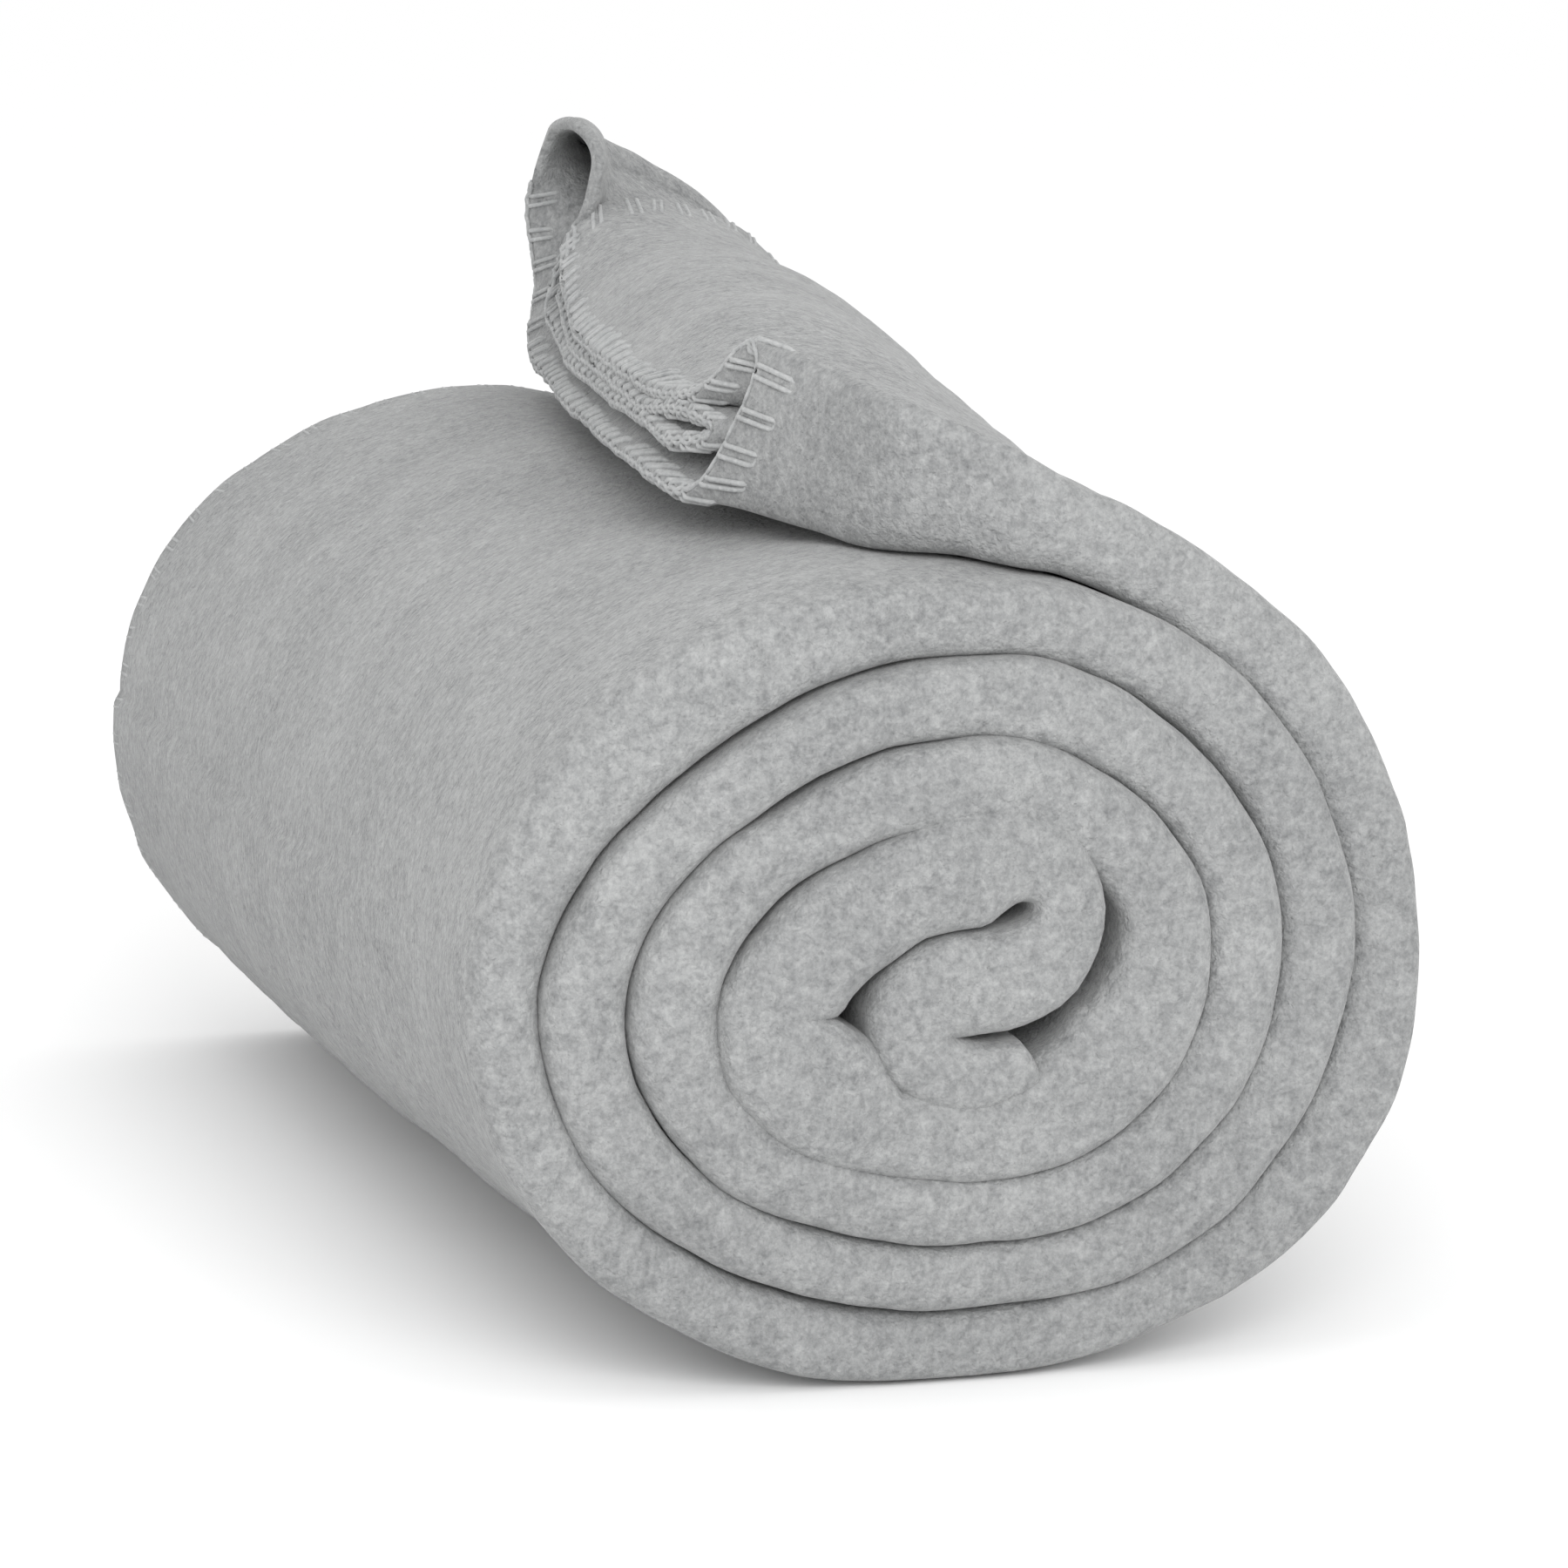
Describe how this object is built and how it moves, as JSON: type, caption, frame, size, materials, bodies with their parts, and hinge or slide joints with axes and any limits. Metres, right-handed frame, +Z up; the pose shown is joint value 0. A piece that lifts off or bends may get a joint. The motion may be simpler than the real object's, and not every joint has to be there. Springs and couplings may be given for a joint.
{
  "type": "rolled throw blanket",
  "caption": "Fleece throw blanket folded lengthwise and rolled into a bundle, with a loose stitched tail end lying on top.",
  "frame": {"origin": "centre of the bounding box, on the floor", "axes": "+Y along the roll from the smooth spiral face towards the stitched rear face, +Z up, +X to the right as the spiral face is seen"},
  "size_m": [0.165, 0.3186, 0.1952],
  "materials": {
    "fleece": "matte",
    "yarn": "matte"
  },
  "bodies": {
    "roll": {"fleece_roll": "fleece", "yarn_core_hem": "yarn", "yarn_rear_hem_p": "yarn", "yarn_rear_hem_q": "yarn"},
    "tail": {"fleece_tail": "fleece", "yarn_end_hem_p": "yarn", "yarn_end_hem_q": "yarn", "yarn_side_hem_p": "yarn", "yarn_side_hem_q": "yarn"}
  },
  "joints": [
    {"name": "tail_lift", "type": "hinge", "parent": "roll", "child": "tail", "pos_m": [0.04996, -0.0005, 0.13349], "axis": [0, 1, 0], "range_deg": [0, 60]}
  ]
}
